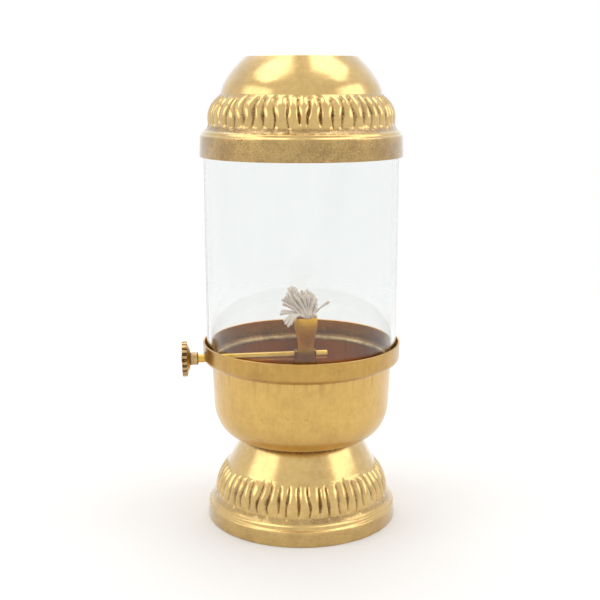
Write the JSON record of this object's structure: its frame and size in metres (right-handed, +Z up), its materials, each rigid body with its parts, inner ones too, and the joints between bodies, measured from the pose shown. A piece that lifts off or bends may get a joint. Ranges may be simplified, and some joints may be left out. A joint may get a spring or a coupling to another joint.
{
  "type": "oil lamp",
  "caption": "Brass oil lamp on a ribbed foot, with a round bowl, a clear glass tube, a ribbed vented crown and a side knob that raises the wick.",
  "frame": {"origin": "centre of the foot's underside, on the lamp's axis", "axes": "+Z up along the lamp's axis, the knob stands out on the -X side, the wick holder is on the -Y side of the spindle"},
  "size_m": [0.103, 0.0928, 0.2156],
  "materials": {
    "polished_brass": "polished",
    "satin_brass": "satin",
    "plain_brass": "machined",
    "clear_glass": "clear",
    "cotton": "twisted yarn"
  },
  "bodies": {
    "stand": {"base_foot": "polished_brass", "oil_bowl": "satin_brass", "bowl_stud": "plain_brass", "stud_washer": "plain_brass", "stud_nut": "plain_brass", "gallery_ring": "polished_brass", "holder_stand": "plain_brass", "wick_holder": "polished_brass"},
    "adjuster": {"spindle": "polished_brass", "wick_wheel": "plain_brass", "knob_wheel": "polished_brass", "knob_hub": "polished_brass"},
    "wick_bundle": {"wick": "cotton"},
    "glass": {"glass_chimney": "clear_glass"},
    "crown_cap": {"crown": "polished_brass"}
  },
  "joints": [
    {"name": "knob_turn", "type": "hinge", "parent": "stand", "child": "adjuster", "pos_m": [0.0015, -0.002, 0.0783], "axis": [-0.9998, 0, -0.0175], "range_deg": [0, 171]},
    {"name": "wick_raise", "type": "slide", "parent": "stand", "child": "wick_bundle", "axis": [0, 0, 1], "range_m": [0, 0.012]},
    {"name": "glass_lift", "type": "slide", "parent": "stand", "child": "glass", "axis": [0, 0, 1], "range_m": [0, 0.06]},
    {"name": "crown_lift", "type": "slide", "parent": "glass", "child": "crown_cap", "axis": [0, 0, 1], "range_m": [0, 0.04]}
  ],
  "couplings": [
    {"joint": "wick_raise", "follows": "knob_turn", "m_per_rad": 0.004}
  ]
}
